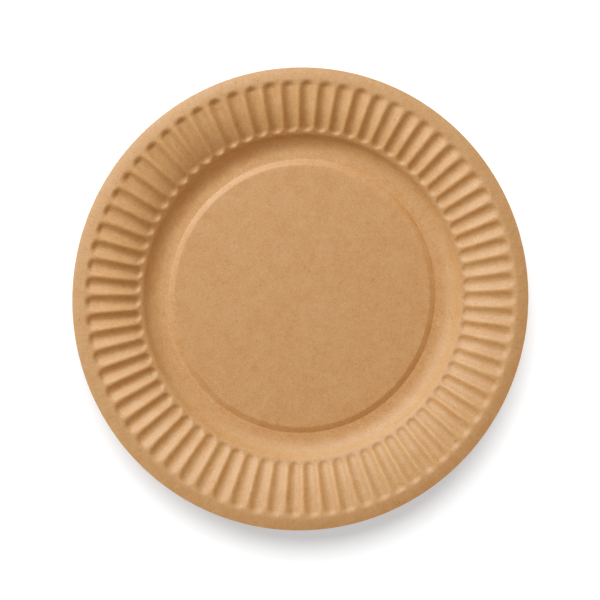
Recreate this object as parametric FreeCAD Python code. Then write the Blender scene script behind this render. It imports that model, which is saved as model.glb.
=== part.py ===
import FreeCAD, Part
import math
import os
from FreeCAD import Vector

# A pressed paper plate: one sheet of board with a raised flat centre, a coved wall,
# a band of radial flutes and a rim that rolls gently down. All sizes are in millimetres
# and degrees. The underside of the standing ring is at Z = 0 and the plate's axis is Z.
# The sheet is built from flat facets, one set for each flute's share of the circle.

# The sheet
plate_diameter = 230.0
board_thickness = 0.6

# The rim, from the flutes' outer ends to the cut edge
rim_width = 6.1
rim_edge_slope = -13.0
rim_steps = 3

# The fluted band, which swells gently upwards between its inner and its outer slope
band_width = 27.2
band_inner_slope = 37.0
band_outer_slope = 5.5

# The plain wall below the flutes
wall_width = 10.5
wall_slope = 47.0
cove_radius = 9.2
cove_steps = 4

# The standing ring and the raised centre that it carries
standing_ring_width = 1.5
centre_rise = 1.3
centre_bevel_slope = 22.0

# The flutes are troughs pressed straight down between narrow ridges. The depth is that
# halfway out along the band, and it grows with the distance from the plate's axis. They
# drift by a few degrees from even spacing, so that they lie closer on one side.
flute_count = 72
first_ridge_direction = 3.1
flute_drift = 2.2
flute_drift_start = 168.0
flute_depth = 1.6
flute_ridge_share = 0.32
flute_inner_end_length = 2.8
flute_outer_end_length = 2.4

# Where the corners of a flute's section lie, from the ridge at 0 to the trough at 0.5
flute_section_corners = (0.0, 0.08, 0.24, 0.36, 0.5)

rim_radius = plate_diameter / 2
band_outer_radius = rim_radius - rim_width
band_inner_radius = band_outer_radius - band_width
band_middle_radius = (band_outer_radius + band_inner_radius) / 2
cove_start_radius = band_inner_radius - wall_width
standing_ring_inner_radius = cove_start_radius - standing_ring_width


def slope_of(angle):
    return math.tan(math.radians(angle))


def sine(angle):
    return math.sin(math.radians(angle))


def cosine(angle):
    return math.cos(math.radians(angle))


class Ring:
    """A place on the sheet's underside: its radius, its height and how steep the sheet is there."""

    def __init__(self, radius, height, slope, flute_share=0.0):
        self.radius = radius
        self.height = height
        self.slope = slope
        self.flute_share = flute_share


def bend(start, end_slope, end_radius, radii):
    """Rings along an arc that begins at a ring and turns evenly to another slope."""
    turn_radius = (end_radius - start.radius) / (sine(end_slope) - sine(start.slope))
    rings = []
    for radius in radii:
        slope = math.degrees(math.asin(sine(start.slope) + (radius - start.radius) / turn_radius))
        height = start.height + turn_radius * (cosine(start.slope) - cosine(slope))
        rings.append(Ring(radius, height, slope))
    return rings


def evenly(start, end, steps):
    return [start + (end - start) * step / steps for step in range(1, steps + 1)]


def centre_rings():
    """The raised centre's edge, the foot of its bevel and the outside of the standing ring."""
    bevel_width = centre_rise / slope_of(centre_bevel_slope)
    half_bevel = -centre_bevel_slope / 2
    return [
        Ring(standing_ring_inner_radius - bevel_width, centre_rise, half_bevel),
        Ring(standing_ring_inner_radius, 0.0, half_bevel),
        Ring(cove_start_radius, 0.0, 0.0),
    ]


def wall_rings(start):
    """The cove and the straight wall, up to where the fluted band begins."""
    cove_end_radius = start.radius + cove_radius * sine(wall_slope)
    radii = evenly(start.radius, cove_end_radius, cove_steps)
    cove = bend(start, wall_slope, cove_end_radius, radii)
    wall_rise = (band_inner_radius - cove_end_radius) * slope_of(wall_slope)
    top = Ring(band_inner_radius, cove[-1].height + wall_rise, band_inner_slope)
    return cove + [top]


def band_rings(start):
    """The fluted band: its flutes are at full depth on the three rings between its ends."""
    radii = [
        band_inner_radius + flute_inner_end_length,
        band_middle_radius,
        band_outer_radius - flute_outer_end_length,
        band_outer_radius,
    ]
    rings = bend(start, band_outer_slope, band_outer_radius, radii)
    for ring in rings[:-1]:
        ring.flute_share = 1.0
    return rings


def rim_rings(start):
    return bend(start, rim_edge_slope, rim_radius, evenly(start.radius, rim_radius, rim_steps))


def sheet_rings():
    """All rings of the sheet, from the middle outwards."""
    rings = centre_rings()
    rings += wall_rings(rings[-1])
    rings += band_rings(rings[-1])
    rings += rim_rings(rings[-1])
    return rings


def pressed_share(place):
    """How deep a flute is, as a share of its depth, at a place between ridge (0) and trough (0.5)."""
    ridge_half = flute_ridge_share / 2
    trough_half = 0.5 - ridge_half
    if place < ridge_half:
        return 2 * place ** 2 / ridge_half
    return 1 - 2 * (0.5 - place) ** 2 / trough_half


def direction(flutes_round):
    """The direction of a place on the band, counted in flutes round from the first ridge."""
    even = 360.0 * flutes_round / flute_count
    return first_ridge_direction + even + flute_drift * sine(even - flute_drift_start)


def section_places():
    """The corners of one whole flute, from ridge to ridge."""
    return list(flute_section_corners) + [1 - place for place in flute_section_corners[-2::-1]]


def ring_points(ring, side, flute):
    """One flute's share of a ring, on the upper face (side 1) or the underside (side 0)."""
    height = ring.height + side * board_thickness / cosine(ring.slope)
    places = section_places() if ring.flute_share else [0.0, 1.0]
    depth = flute_depth * ring.flute_share * ring.radius / band_middle_radius
    points = []
    for place in places:
        angle = direction((flute + place) % flute_count)
        drop = depth * pressed_share(min(place, 1 - place))
        points.append(Vector(ring.radius * cosine(angle), ring.radius * sine(angle), height - drop))
    return points


def facet(*corners):
    return Part.Face(Part.makePolygon(list(corners) + [corners[0]]))


def strip(inner, outer):
    """Facets between one flute's shares of two neighbouring rings."""
    if len(inner) == len(outer):
        pairs = zip(inner, inner[1:], outer, outer[1:])
        return [facet(a, b, d, c) for a, b, c, d in pairs]
    plain, fluted = (inner, outer) if len(inner) < len(outer) else (outer, inner)
    middle = len(fluted) // 2
    left = [facet(plain[0], a, b) for a, b in zip(fluted[:middle], fluted[1:])]
    right = [facet(plain[1], a, b) for a, b in zip(fluted[middle:], fluted[middle + 1:])]
    return left + [facet(plain[0], fluted[middle], plain[1])] + right


def share_of_sheet(rings, flute):
    """The facets of one flute's share of the plate, from the centre to the cut edge."""
    facets = []
    for side in (1, 0):
        rows = [ring_points(ring, side, flute) for ring in rings]
        for inner, outer in zip(rows, rows[1:]):
            facets += strip(inner, outer)
    edge = [ring_points(rings[-1], side, flute) for side in (1, 0)]
    facets += strip(*edge)
    return facets


def centre_faces(ring):
    """The flat raised centre, on the upper face and the underside."""
    faces = []
    for side in (1, 0):
        corners = [ring_points(ring, side, flute)[0] for flute in range(flute_count)]
        faces.append(Part.Face(Part.makePolygon(corners + [corners[0]])))
    return faces


def plate():
    rings = sheet_rings()
    faces = centre_faces(rings[0])
    for flute in range(flute_count):
        faces += share_of_sheet(rings, flute)
    shell = Part.makeShell(faces)
    shell.sewShape()
    return Part.makeSolid(shell)


os.makedirs("parts", exist_ok=True)
plate().exportStep("parts/plate.step")
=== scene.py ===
import math
import bpy
from mathutils import Matrix, Vector


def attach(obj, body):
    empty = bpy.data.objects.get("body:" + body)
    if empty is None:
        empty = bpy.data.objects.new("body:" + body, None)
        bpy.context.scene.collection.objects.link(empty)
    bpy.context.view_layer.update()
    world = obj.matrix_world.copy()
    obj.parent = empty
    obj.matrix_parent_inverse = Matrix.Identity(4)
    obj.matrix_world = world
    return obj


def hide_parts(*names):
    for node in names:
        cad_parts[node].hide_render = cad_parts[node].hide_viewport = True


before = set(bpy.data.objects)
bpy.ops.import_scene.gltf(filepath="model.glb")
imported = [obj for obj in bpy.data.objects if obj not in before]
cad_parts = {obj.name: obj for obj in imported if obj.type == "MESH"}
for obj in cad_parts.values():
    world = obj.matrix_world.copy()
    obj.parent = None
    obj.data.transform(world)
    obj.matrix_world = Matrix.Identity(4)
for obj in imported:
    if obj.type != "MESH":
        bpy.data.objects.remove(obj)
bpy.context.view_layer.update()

# A pressed kraft board plate, seen from straight above on a white ground.
# Sizes are in metres and angles in degrees. A share is a part of 1.
MM = 0.001


def mm(*sizes):
    return tuple(size * MM for size in sizes)


# The sheet, and the rim from the flutes to the cut edge
plate_radius = 115.0 * MM
board_thickness = 0.6 * MM
rim_turn_width = 0.8 * MM
rim_start_slope = -2.9
rim_edge_slope = -14.5

# The fluted band
band_outer_radius = 108.9 * MM
band_inner_radius = 81.7 * MM
band_inner_slope = 37.0
band_outer_slope = 2.5

# The wall: a cove, a short straight stretch, and a shoulder that turns into the band
cove_start_radius = 71.4 * MM
cove_end_radius = 80.2 * MM
shoulder_start_radius = 80.8 * MM
wall_slope = 52.0

# The bevel around the raised centre, rounded at its top and at its foot
bevel_slope = -25.5
bevel_inner_radius = 65.35 * MM
bevel_outer_radius = 68.35 * MM
bevel_bend_width = 0.8 * MM

# The flutes, whose depth is that halfway along the band
flute_count = 72
flute_depth = 1.85 * MM
flute_ridge_share = 0.28
flute_start_radius = 81.6 * MM
flute_end_radius = band_outer_radius + 0.5 * MM
flute_inner_end_length = 3.9 * MM
flute_outer_end_length = 3.6 * MM
flute_end_squareness = 2.0
flute_unevenness = 0.08
flute_seed = 7

# Towards the rim the flutes fade a little and their ridges widen, from one radius to another
outer_fade = 0.2
outer_fade_zone = mm(100.0, 108.0)
outer_lip = 0.25
outer_lip_zone = mm(102.0, 108.0)

# One side of the plate is pressed deeper than the other
deeper_share = 0.16
deeper_side = 150.0

# The flutes drift from even spacing, once and three times round the plate
first_ridge = 3.14
drift = 2.21
drift_start = 168.3
second_drift = 0.42
second_drift_turns = 3.0
second_drift_start = 8.4

# The sheet is a little longer in one direction, and its middle lies a little aside
stretch = 0.96 * MM
stretch_direction = 78.0
stretch_zone = mm(20.0, 60.0)
centre_offset = mm(0.86, 1.47, 0.0)
centre_offset_zone = mm(74.0, 106.0)

# How finely the mesh is divided
columns_round_plate = 864
flat_centre_radii = mm(0.0, 30.0, 60.0)
flute_end_margin = 0.4 * MM
cut_edge_width = 0.2 * MM
weld_distance = 0.002 * MM
rounding_room = 0.0005
sharp_angle = 40.0


# Helpers for node trees
def feed(tree, value, socket):
    """Gives a socket its value: another node's output, or a plain value."""
    if isinstance(value, Number):
        value = value.socket
    if isinstance(value, bpy.types.NodeSocket):
        tree.links.new(value, socket)
    else:
        socket.default_value = value


def node(tree, kind, *values, **settings):
    """A new node with its settings, and its first inputs fed in order."""
    made = tree.nodes.new(kind)
    for name, setting in settings.items():
        setattr(made, name, setting)
    for value, socket in zip(values, made.inputs):
        feed(tree, value, socket)
    return made


class Number:
    """A number in a node tree, so that a formula can be written as one."""

    def __init__(self, tree, socket):
        self.tree = tree
        self.socket = socket

    def do(self, operation, *others):
        made = node(self.tree, "ShaderNodeMath", self, *others, operation=operation)
        return Number(self.tree, made.outputs[0])

    def __add__(self, other):
        return self.do("ADD", other)

    def __sub__(self, other):
        return self.do("SUBTRACT", other)

    def __mul__(self, other):
        return self.do("MULTIPLY", other)

    def __truediv__(self, other):
        return self.do("DIVIDE", other)

    def __pow__(self, other):
        return self.do("POWER", other)

    def __radd__(self, other):
        return self.do("ADD", other)

    def __rmul__(self, other):
        return self.do("MULTIPLY", other)

    def __rsub__(self, other):
        return (self * -1.0) + other


def sine_of(angle):
    return angle.do("RADIANS").do("SINE")


def cosine_of(angle):
    return angle.do("RADIANS").do("COSINE")


def parts_of(tree, kind, value):
    """The three numbers of a vector or a colour."""
    return [Number(tree, out) for out in node(tree, kind, value).outputs]


def smooth_step(value, start, end):
    """0 before start and 1 after end, with a smooth change between them."""
    made = node(value.tree, "ShaderNodeMapRange", value, start, end, 0.0, 1.0,
                interpolation_type="SMOOTHSTEP", clamp=True)
    return Number(value.tree, made.outputs[0])


def zone(value, start, full, fading, end):
    """1 between full and fading, and 0 before start and after end."""
    return smooth_step(value, start, full) * (1.0 - smooth_step(value, fading, end))


# The sheet's section
class Leg:
    """A stretch of the sheet's section that turns evenly from the last leg's slope to its own."""

    def __init__(self, end_radius, end_slope):
        self.end_radius = end_radius
        self.end_slope = end_slope


def sine(angle):
    return math.sin(math.radians(angle))


def cosine(angle):
    return math.cos(math.radians(angle))


section_legs = [
    Leg(bevel_inner_radius - bevel_bend_width / 2, 0.0),
    Leg(bevel_inner_radius + bevel_bend_width / 2, bevel_slope),
    Leg(bevel_outer_radius - bevel_bend_width / 2, bevel_slope),
    Leg(bevel_outer_radius + bevel_bend_width / 2, 0.0),
    Leg(cove_start_radius, 0.0),
    Leg(cove_end_radius, wall_slope),
    Leg(shoulder_start_radius, wall_slope),
    Leg(band_inner_radius, band_inner_slope),
    Leg(band_outer_radius, band_outer_slope),
    Leg(band_outer_radius + rim_turn_width, rim_start_slope),
    Leg(plate_radius, rim_edge_slope),
]


def sheet_at(radius):
    """How high the sheet's underside is above the flat centre's, and its slope, at a radius."""
    start_radius, start_slope, height = 0.0, 0.0, 0.0
    for leg in section_legs:
        width = leg.end_radius - start_radius
        run = min(radius, leg.end_radius) - start_radius
        turn = sine(leg.end_slope) - sine(start_slope)
        slope = math.degrees(math.asin(sine(start_slope) + turn * run / width))
        if turn == 0.0:
            height += run * sine(slope) / cosine(slope)
        else:
            height += width / turn * (cosine(start_slope) - cosine(slope))
        if radius <= leg.end_radius:
            break
        start_radius, start_slope = leg.end_radius, leg.end_slope
    return height, slope


def spread(start, end, steps):
    """Radii from start up to end, without the start itself."""
    return [start + (end - start) * step / steps for step in range(1, steps + 1)]


def section_radii(fine):
    """Where the section has its corners, closer together on the upper face (fine = 2) than below (1)."""
    stretches = [
        (bevel_inner_radius - bevel_bend_width / 2, 1),
        (bevel_inner_radius + bevel_bend_width / 2, 2 * fine),
        (bevel_outer_radius - bevel_bend_width / 2, 1),
        (bevel_outer_radius + bevel_bend_width / 2, 2 * fine),
        (cove_start_radius, 1),
        (cove_end_radius, 4 * fine),
        (flute_start_radius, 1 + fine),
        (flute_start_radius + flute_inner_end_length + flute_end_margin, 6 * fine),
        (band_outer_radius - flute_outer_end_length - flute_end_margin, 5 * fine),
        (band_outer_radius, 5 * fine),
        (band_outer_radius + rim_turn_width, 2 * fine),
        (plate_radius - cut_edge_width, 2 * fine),
    ]
    radii = list(flat_centre_radii)
    for end_radius, steps in stretches:
        radii += spread(radii[-1], end_radius, steps)
    return radii + [plate_radius]


def section_points():
    """The section from the axis out along the upper face and back along the underside.

    Each point is (radius, share of cut edge, height)."""
    points = []
    standing_height, _ = sheet_at(cove_start_radius)
    for radius in section_radii(2):
        height, slope = sheet_at(radius)
        upper_height = height - standing_height + board_thickness / cosine(slope)
        points.append((radius, float(radius == plate_radius), upper_height))
    for radius in reversed(section_radii(1)):
        height, _ = sheet_at(radius)
        points.append((radius, float(radius == plate_radius), height - standing_height))
    return points


# The plate's node tree
def press_inputs(board):
    """What the tree is given: the name, kind and value of each input."""
    return [
        ("Columns", "NodeSocketInt", columns_round_plate),
        ("Flute Count", "NodeSocketInt", flute_count),
        ("Flute Depth", "NodeSocketFloat", flute_depth),
        ("Ridge Share", "NodeSocketFloat", flute_ridge_share),
        ("Flute Start", "NodeSocketFloat", flute_start_radius),
        ("Flute End", "NodeSocketFloat", flute_end_radius),
        ("Inner End Length", "NodeSocketFloat", flute_inner_end_length),
        ("Outer End Length", "NodeSocketFloat", flute_outer_end_length),
        ("End Squareness", "NodeSocketFloat", flute_end_squareness),
        ("Outer Fade", "NodeSocketFloat", outer_fade),
        ("Outer Lip", "NodeSocketFloat", outer_lip),
        ("Deeper Share", "NodeSocketFloat", deeper_share),
        ("Deeper Side", "NodeSocketFloat", deeper_side),
        ("First Ridge", "NodeSocketFloat", first_ridge),
        ("Drift", "NodeSocketFloat", drift),
        ("Drift Start", "NodeSocketFloat", drift_start),
        ("Second Drift", "NodeSocketFloat", second_drift),
        ("Second Drift Start", "NodeSocketFloat", second_drift_start),
        ("Unevenness", "NodeSocketFloat", flute_unevenness),
        ("Stretch", "NodeSocketFloat", stretch),
        ("Stretch Direction", "NodeSocketFloat", stretch_direction),
        ("Centre Offset", "NodeSocketVector", centre_offset),
        ("Seed", "NodeSocketInt", flute_seed),
        ("Board", "NodeSocketMaterial", board),
    ]


class TurnedSheet:
    """The section turned about the axis: one column of points for each step round, and where each lies."""

    def __init__(self, tree, section, size):
        count = node(tree, "GeometryNodeAttributeDomainSize", section, component="MESH")
        rows = Number(tree, count.outputs["Point Count"])
        self.grid = node(tree, "GeometryNodeMeshGrid", 1.0, 1.0, size["Columns"] + 1.0, rows).outputs[0]
        index = Number(tree, node(tree, "GeometryNodeInputIndex").outputs[0])
        column = (index / rows + rounding_room).do("FLOOR")
        corner = node(tree, "GeometryNodeSampleIndex", section, data_type="FLOAT_VECTOR", domain="POINT")
        feed(tree, node(tree, "GeometryNodeInputPosition").outputs[0], corner.inputs["Value"])
        feed(tree, index - column * rows, corner.inputs["Index"])
        self.radius, self.cut_edge, self.height = parts_of(tree, "ShaderNodeSeparateXYZ", corner.outputs[0])
        self.angle = column / size["Columns"] * 360.0

        lengthwise = cosine_of((self.angle - size["Stretch Direction"]) * 2.0)
        long_radius = self.radius + size["Stretch"] * lengthwise * smooth_step(self.radius, *stretch_zone)
        aside_x, aside_y, _ = parts_of(tree, "ShaderNodeSeparateXYZ", size["Centre Offset"])
        inward = 1.0 - smooth_step(self.radius, *centre_offset_zone)
        self.x = long_radius * cosine_of(self.angle) + inward * aside_x
        self.y = long_radius * sine_of(self.angle) + inward * aside_y


class Flutes:
    """The flutes: which one a point lies in, and how far the press sinks it there."""

    def __init__(self, tree, sheet, size):
        self.tree = tree
        self.sheet = sheet
        self.size = size
        turned = sheet.y.do("ARCTAN2", sheet.x).do("DEGREES") - size["First Ridge"]
        first = size["Drift"] * sine_of(turned - size["Drift Start"])
        second = size["Second Drift"] * sine_of(second_drift_turns * turned - size["Second Drift Start"])
        flutes_round = (turned - first - second) / 360.0 * size["Flute Count"]
        self.place = flutes_round.do("FRACT")
        self.number = flutes_round.do("FLOORED_MODULO", size["Flute Count"]).do("FLOOR")
        self.pressed = self.pressed_share()
        self.drop = self.pressed * self.depth()

    def ragged(self, seed_step):
        """A share near 1 that differs from flute to flute."""
        draw = node(self.tree, "FunctionNodeRandomValue", data_type="FLOAT")
        lowest, highest = draw.inputs[2], draw.inputs[3]
        lowest.default_value, highest.default_value = -1.0, 1.0
        feed(self.tree, self.number, draw.inputs["ID"])
        feed(self.tree, self.size["Seed"] + seed_step, draw.inputs["Seed"])
        return Number(self.tree, draw.outputs[1]) * self.size["Unevenness"] + 1.0

    def pressed_share(self):
        """1 along the middle of a flute, and 0 on the ridges beside it and beyond its rounded ends."""
        size, radius = self.size, self.sheet.radius
        across = (self.place - 0.5).do("ABSOLUTE") * 2.0
        inner_end = size["Inner End Length"] * self.ragged(1.0)
        outer_end = size["Outer End Length"] * self.ragged(2.0)
        inside = ((size["Flute Start"] + inner_end - radius) / inner_end).do("MAXIMUM", 0.0)
        outside = ((radius - size["Flute End"] + outer_end) / outer_end).do("MAXIMUM", 0.0)
        power = size["End Squareness"]
        sum_of_powers = across ** power + (inside + outside) ** power
        reach = (sum_of_powers ** (power ** -1.0)).do("MINIMUM", 1.0)

        widening = size["Outer Lip"] * smooth_step(radius, *outer_lip_zone)
        ridge = size["Ridge Share"] * self.ragged(3.0) + widening
        trough = 1.0 - ridge
        hollow = 1.0 - reach * reach / trough
        lip = (1.0 - reach) * (1.0 - reach) / ridge
        in_lip = reach.do("GREATER_THAN", trough)
        return lip * in_lip + hollow * (1.0 - in_lip)

    def depth(self):
        """How deep a flute is along its middle. It grows with the distance from the axis."""
        size, radius = self.size, self.sheet.radius
        middle = (size["Flute Start"] + size["Flute End"]) * 0.5
        fade = 1.0 - size["Outer Fade"] * smooth_step(radius, *outer_fade_zone)
        deeper = 1.0 + size["Deeper Share"] * cosine_of(self.sheet.angle - size["Deeper Side"])
        return size["Flute Depth"] * radius / middle * fade * deeper * self.ragged(4.0)


def with_attribute(tree, name, value, geometry):
    """The geometry with a number kept on each of its points, for the material."""
    made = node(tree, "GeometryNodeStoreNamedAttribute", geometry, data_type="FLOAT", domain="POINT")
    made.inputs["Name"].default_value = name
    feed(tree, value, made.inputs["Value"])
    return made.outputs[0]


def plate_tree(inputs):
    """Turns the section about the axis, presses the flutes into the sheet and closes seam and poles."""
    tree = bpy.data.node_groups.new("pressed_plate", "GeometryNodeTree")
    panel = tree.interface
    panel.new_socket("Section", in_out="INPUT", socket_type="NodeSocketGeometry")
    for name, kind, value in inputs:
        panel.new_socket(name, in_out="INPUT", socket_type=kind)
    panel.new_socket("Plate", in_out="OUTPUT", socket_type="NodeSocketGeometry")

    entry = node(tree, "NodeGroupInput")
    size = {name: Number(tree, entry.outputs[name]) for name, kind, value in inputs}
    sheet = TurnedSheet(tree, entry.outputs["Section"], size)
    flutes = Flutes(tree, sheet, size)

    shaped = node(tree, "GeometryNodeSetPosition", sheet.grid)
    point = node(tree, "ShaderNodeCombineXYZ", sheet.x, sheet.y, sheet.height - flutes.drop)
    feed(tree, point.outputs[0], shaped.inputs["Position"])
    marked = with_attribute(tree, "cut_edge", sheet.cut_edge, shaped.outputs[0])
    marked = with_attribute(tree, "pressed", flutes.pressed, marked)
    closed = node(tree, "GeometryNodeMergeByDistance", marked)
    closed.inputs["Distance"].default_value = weld_distance
    smooth = node(tree, "GeometryNodeSetShadeSmooth", closed.outputs[0])
    real = node(tree, "GeometryNodeRealizeInstances", smooth.outputs[0])
    coated = node(tree, "GeometryNodeSetMaterial", real.outputs[0])
    feed(tree, size["Board"], coated.inputs["Material"])
    node(tree, "NodeGroupOutput", coated.outputs[0])
    return tree


def make_plate():
    corners = section_points()
    links = [(index, index + 1) for index in range(len(corners) - 1)]
    section = bpy.data.meshes.new("plate_section")
    section.from_pydata(corners, links, [])
    maker = bpy.data.objects.new("plate_section", section)
    bpy.context.scene.collection.objects.link(maker)

    inputs = press_inputs(kraft_board())
    values = {name: value for name, kind, value in inputs}
    press = maker.modifiers.new("press", "NODES")
    press.node_group = plate_tree(inputs)
    for item in press.node_group.interface.items_tree:
        if item.name in values:
            press[item.identifier] = values[item.name]

    graph = bpy.context.evaluated_depsgraph_get()
    mesh = bpy.data.meshes.new_from_object(maker.evaluated_get(graph), depsgraph=graph)
    mesh.name = "pressed_plate"
    mesh.set_sharp_from_angle(angle=math.radians(sharp_angle))
    bpy.data.objects.remove(maker)
    plate = bpy.data.objects.new("pressed_plate", mesh)
    bpy.context.scene.collection.objects.link(plate)
    return plate


# The board: where painted light and shade change its tone, each zone from its start to full and from fading
# to its end
# A painted highlight along the bevel, strongest at its foot
bevel_highlight_zone = mm(65.0, 68.0, 68.4, 69.2)
# Painted light: the wall is made a little lighter
wall_light_zone = mm(68.2, 70.5, 80.5, 82.0)
# Painted light: the board is made paler from here outwards
outer_light_zone = mm(72.0, 77.0)
# Painted shade: a darker ring where the flutes begin
fold_shade_zone = mm(80.8, 81.8, 82.8, 84.2)
# The band: its brightness is raised a little as painted light; its streaks and ridge highlights lie within
# it
band_zone = mm(82.5, 87.0, 104.0, 110.0)
# Painted shade: the rim is made a little darker and browner
rim_zone = mm(108.0, 110.0, 112.0, 114.0)

# The ridges' painted highlight ends where a flute is sunk by this share of its depth
ridge_depth_share = 0.6

# Linear colours of the pulp at tone 0 and at tone 1, and of the fresh cut
dark_pulp = (0.548, 0.2105, 0.0135, 1.0)
pale_pulp = (0.638, 0.338, 0.114, 1.0)
cut_edge_color = (0.70, 0.46, 0.25, 1.0)
cut_edge_share = 0.6
middle_tone = 0.5
darkest_tone = -0.1

board_ior = 1.75
board_specular = 0.87
board_roughness = 0.72
roughness_mottling = 0.2
relief_strength = 0.2
relief_depth = 0.05 * MM

# Grain sizes, in features to the metre
cloud_scale = 130.0
mottling_scale = 420.0
grain_scale = 2400.0
fibre_scale = 1300.0
fibre_length = 4.5
fibre_directions = (17.0, 77.0, 137.0)
streak_scale = 85.0
streak_length = 1.6

# Creases: one may cross the rim in each of these places round the plate, of whose width
# its own line may lie anywhere within the freedom
crease_places = 96.0
crease_freedom = 0.6
crease_wander_scale = 300.0
crease_wander = 0.25
crease_half_width = mm(0.1, 0.4)
crease_start_zone = mm(107.0, 109.5)
crease_end_zone = mm(109.0, 112.5)
crease_extra_length = 5.0 * MM
crease_chance = (0.35, 0.9)

# Specks: sizes are shares of the cell that each of them may lie in
speck_cells = 100.0
speck_size = 0.022
speck_edge = (0.010, 0.040)
speck_chance_start = 0.65


def noise(tree, place, scale, detail=2.0, length=1.0, turn=0.0):
    """Noise around 0, with scale in features to the metre, drawn out along one direction."""
    mapped = node(tree, "ShaderNodeMapping", place, vector_type="TEXTURE")
    mapped.inputs["Rotation"].default_value = (0.0, 0.0, math.radians(turn))
    mapped.inputs["Scale"].default_value = (length, 1.0, 1.0)
    made = node(tree, "ShaderNodeTexNoise", mapped.outputs[0])
    made.inputs["Scale"].default_value = scale
    made.inputs["Detail"].default_value = detail
    return Number(tree, made.outputs["Fac"]) - 0.5


def attribute(tree, name):
    """A number that the plate's mesh keeps on its points."""
    made = node(tree, "ShaderNodeAttribute", attribute_name=name, attribute_type="GEOMETRY")
    return Number(tree, made.outputs["Fac"])


def mixed(tree, share, first, second):
    """Two colours mixed by a share, which may lie outside 0 to 1."""
    made = node(tree, "ShaderNodeMix", share, data_type="RGBA", clamp_factor=False)
    first_color, second_color, result = made.inputs[6], made.inputs[7], made.outputs[2]
    feed(tree, first, first_color)
    feed(tree, second, second_color)
    return result


def pressing_streaks(tree, x, y, radius):
    """Streaks that the press leaves along the flutes."""
    away = radius.do("MAXIMUM", 1.0 * MM)
    along_rays = node(tree, "ShaderNodeCombineXYZ", x / away, y / away, radius * streak_length)
    return noise(tree, along_rays.outputs[0], streak_scale)


def hairline_creases(tree, place, x, y, radius):
    """1 on hairlines that cross the rim, each in its own place and of its own length."""
    cell = (y.do("ARCTAN2", x) / (2.0 * math.pi) + 0.5) * crease_places
    draw = node(tree, "ShaderNodeTexWhiteNoise", cell.do("FLOOR"), noise_dimensions="1D")
    where, how_long, how_deep = parts_of(tree, "ShaderNodeSeparateColor", draw.outputs["Color"])
    wander = noise(tree, place, crease_wander_scale) * crease_wander
    middle = where * crease_freedom + (1.0 - crease_freedom) / 2.0
    off_line = (cell.do("FRACT") - middle + wander).do("ABSOLUTE")
    off_line = off_line * radius * (2.0 * math.pi / crease_places)
    line = 1.0 - smooth_step(off_line, *crease_half_width)
    from_edge = 1.0 - smooth_step(radius - how_long * crease_extra_length, *crease_end_zone)
    return line * smooth_step(radius, *crease_start_zone) * from_edge * smooth_step(how_deep, *crease_chance)


def bark_specks(tree, place):
    """1 on small dark specks of bark."""
    bark = node(tree, "ShaderNodeTexVoronoi", place, voronoi_dimensions="2D")
    bark.inputs["Scale"].default_value = speck_cells
    chance, how_large, _ = parts_of(tree, "ShaderNodeSeparateColor", bark.outputs["Color"])
    near = Number(tree, bark.outputs["Distance"]) - how_large * speck_size
    return (1.0 - smooth_step(near, *speck_edge)) * chance.do("GREATER_THAN", speck_chance_start)


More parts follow.
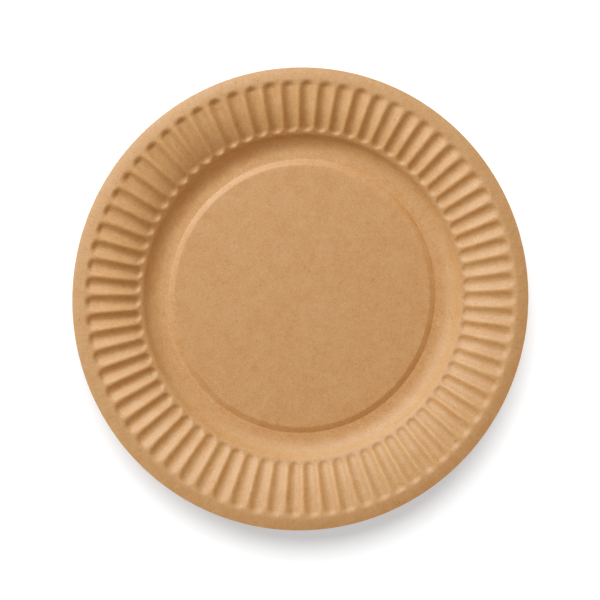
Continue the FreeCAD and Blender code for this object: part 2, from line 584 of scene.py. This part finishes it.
def kraft_board():
    """Unbleached board: mottled brown pulp with fine fibres, a few dark specks and hairline creases, with
    painted light and shade on its relief.
    """
    material = bpy.data.materials.new("kraft_board")
    material.use_nodes = True
    tree = material.node_tree
    shader = tree.nodes["Principled BSDF"]
    shader.inputs["IOR"].default_value = board_ior
    shader.inputs["Specular IOR Level"].default_value = board_specular
    place = node(tree, "ShaderNodeTexCoord").outputs["Object"]
    x, y, _ = parts_of(tree, "ShaderNodeSeparateXYZ", place)
    radius = (x * x + y * y).do("SQRT")

    # The pulp: clouds, mottling and grain, and the fibres that lie in it every way
    clouds = noise(tree, place, cloud_scale)
    mottling = noise(tree, place, mottling_scale)
    grain = noise(tree, place, grain_scale, detail=1.0)
    fibres = 0.0
    for turn in fibre_directions:
        fibres = fibres + noise(tree, place, fibre_scale, length=fibre_length, turn=turn)
    specks = bark_specks(tree, place)
    creases = hairline_creases(tree, place, x, y, radius)

    # Painted light and shade: the board is made paler from the wall outwards, on the bevel, the wall, the
    # band and most of all on the ridges, where the relief catches light, and darker at the fold where the
    # flutes begin and on the rim
    outer_light = smooth_step(radius, *outer_light_zone)
    bevel_highlight = zone(radius, *bevel_highlight_zone)
    wall_light = zone(radius, *wall_light_zone)
    fold_shade = zone(radius, *fold_shade_zone)
    band = zone(radius, *band_zone)
    rim = zone(radius, *rim_zone)
    ridge_highlight = (1.0 - smooth_step(attribute(tree, "pressed"), 0.0, ridge_depth_share)) * band
    streaks = pressing_streaks(tree, x, y, radius) * band

    tone = middle_tone + clouds * 0.64 + mottling * 0.57 + grain * 2.4 + fibres * 0.47 + streaks * 0.6
    # Painted light and shade in the tone: paler on the outer part and the bevel, darker at the fold and on
    # the rim; the specks are dark bark
    tone = tone + outer_light * 0.2 + bevel_highlight * 0.08 - fold_shade * 0.12 - rim * 0.05 - specks * 0.5
    pulp = mixed(tree, tone.do("MAXIMUM", darkest_tone), dark_pulp, pale_pulp)
    # Painted light and shade in the brightness: raised on the bevel, the wall, the band and the ridges,
    # lowered at the fold and on the rim
    light = 1.0 + bevel_highlight * 0.05 + wall_light * 0.04 - fold_shade * 0.02 - rim * 0.01 + band * 0.02 + ridge_highlight * 0.075
    # The crease lines are darkened as painted shade in the creases, besides their bump
    light = light - specks * 0.12 - creases * 0.4
    lit_pulp = node(tree, "ShaderNodeVectorMath", pulp, operation="SCALE")
    feed(tree, light, lit_pulp.inputs["Scale"])
    cut = attribute(tree, "cut_edge") * cut_edge_share
    feed(tree, mixed(tree, cut, lit_pulp.outputs[0], cut_edge_color), shader.inputs["Base Color"])
    feed(tree, board_roughness + mottling * roughness_mottling, shader.inputs["Roughness"])

    bump = node(tree, "ShaderNodeBump")
    bump.inputs["Strength"].default_value = relief_strength
    bump.inputs["Distance"].default_value = relief_depth
    relief = grain * 0.5 + fibres * 0.3 + mottling * 0.5 - creases * 1.2
    feed(tree, relief, bump.inputs["Height"])
    feed(tree, bump.outputs[0], shader.inputs["Normal"])
    return material


# The ground, the lamps and the camera
floor_half_width = 3.0
ground_white = 0.66
ground_lift = 0.4


def white_ground():
    """Paper white, which the camera sees lifted a little, as on an overexposed ground."""
    material = bpy.data.materials.new("white_ground")
    material.use_nodes = True
    tree = material.node_tree
    tree.nodes.clear()
    paper = node(tree, "ShaderNodeBsdfDiffuse", (ground_white, ground_white, ground_white, 1.0))
    lift = node(tree, "ShaderNodeEmission", (1.0, 1.0, 1.0, 1.0))
    seen = Number(tree, node(tree, "ShaderNodeLightPath").outputs["Is Camera Ray"])
    feed(tree, seen * ground_lift, lift.inputs["Strength"])
    both = node(tree, "ShaderNodeAddShader", paper.outputs[0], lift.outputs[0])
    node(tree, "ShaderNodeOutputMaterial", both.outputs[0])
    return material


def white_floor():
    reach = floor_half_width
    corners = [(-reach, -reach, 0.0), (reach, -reach, 0.0), (reach, reach, 0.0), (-reach, reach, 0.0)]
    mesh = bpy.data.meshes.new("floor")
    mesh.from_pydata(corners, [], [(0, 1, 2, 3)])
    mesh.materials.append(white_ground())
    floor = bpy.data.objects.new("floor", mesh)
    bpy.context.scene.collection.objects.link(floor)
    return floor


def direction(azimuth, elevation):
    """The way from the plate to a lamp."""
    flat = cosine(elevation)
    return Vector((flat * cosine(azimuth), flat * sine(azimuth), sine(elevation)))


def hang_lamp(name, kind, place, color, energy, lit):
    """A lamp that shines from its place towards the origin and lights one object alone."""
    lamp = bpy.data.lights.new(name, kind)
    lamp.color = color
    lamp.energy = energy
    made = bpy.data.objects.new(name, lamp)
    bpy.context.scene.collection.objects.link(made)
    made.matrix_world = Matrix.Translation(place) @ place.to_track_quat("Z", "Y").to_matrix().to_4x4()
    group = bpy.data.collections.new("lit_by_" + name)
    group.objects.link(lit)
    made.light_linking.receiver_collection = group
    return made


def key_lamp(plate):
    """A cool, round soft box at the upper left, which brings out the plate's relief."""
    distance, azimuth, elevation = 1.25, 126.0, 37.0
    place = direction(azimuth, elevation) * distance
    made = hang_lamp("key", "AREA", place, (0.641, 0.809, 1.0), 18.6, plate)
    made.data.shape = "DISK"
    made.data.size = 0.5


def warm_fill(plate):
    """Light from nearly the whole sky that warms the plate's shaded sides and gives no highlights."""
    made = hang_lamp("fill", "SUN", Vector((0.0, 0.0, 1.0)), (1.0, 0.55, 0.0), 0.737, plate)
    made.data.angle = math.radians(150.0)
    made.visible_glossy = False


def ground_lamp(floor):
    """A very wide lamp for the ground, so that the plate's shadow there is short and soft."""
    azimuth, elevation = 102.0, 28.0
    made = hang_lamp("ground", "SUN", direction(azimuth, elevation), (1.0, 1.0, 1.0), 6.8, floor)
    made.data.angle = math.radians(86.0)


def pale_room():
    """Even white light from all sides, without highlights."""
    world = bpy.data.worlds.new("pale_room")
    bpy.context.scene.world = world
    world.use_nodes = True
    walls = world.node_tree.nodes["Background"]
    walls.inputs["Color"].default_value = (1.0, 1.0, 1.0, 1.0)
    walls.inputs["Strength"].default_value = 0.31
    world.cycles_visibility.glossy = False


def make_camera():
    """A long lens straight above the plate, with the photo's upper edge towards +Y."""
    distance = 1.2483
    target = Vector(mm(-0.165, -0.565, 18.0))
    camera = bpy.data.cameras.new("camera")
    camera.sensor_width = 36.0
    camera.lens = 150.0
    made = bpy.data.objects.new("camera", camera)
    bpy.context.scene.collection.objects.link(made)
    made.location = target + Vector((0.0, 0.0, distance))
    bpy.context.scene.camera = made


plate = make_plate()
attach(plate, "root")
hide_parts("plate")
floor = white_floor()
key_lamp(plate)
ground_lamp(floor)
warm_fill(plate)
pale_room()
make_camera()
bpy.context.scene.view_settings.view_transform = "Standard"
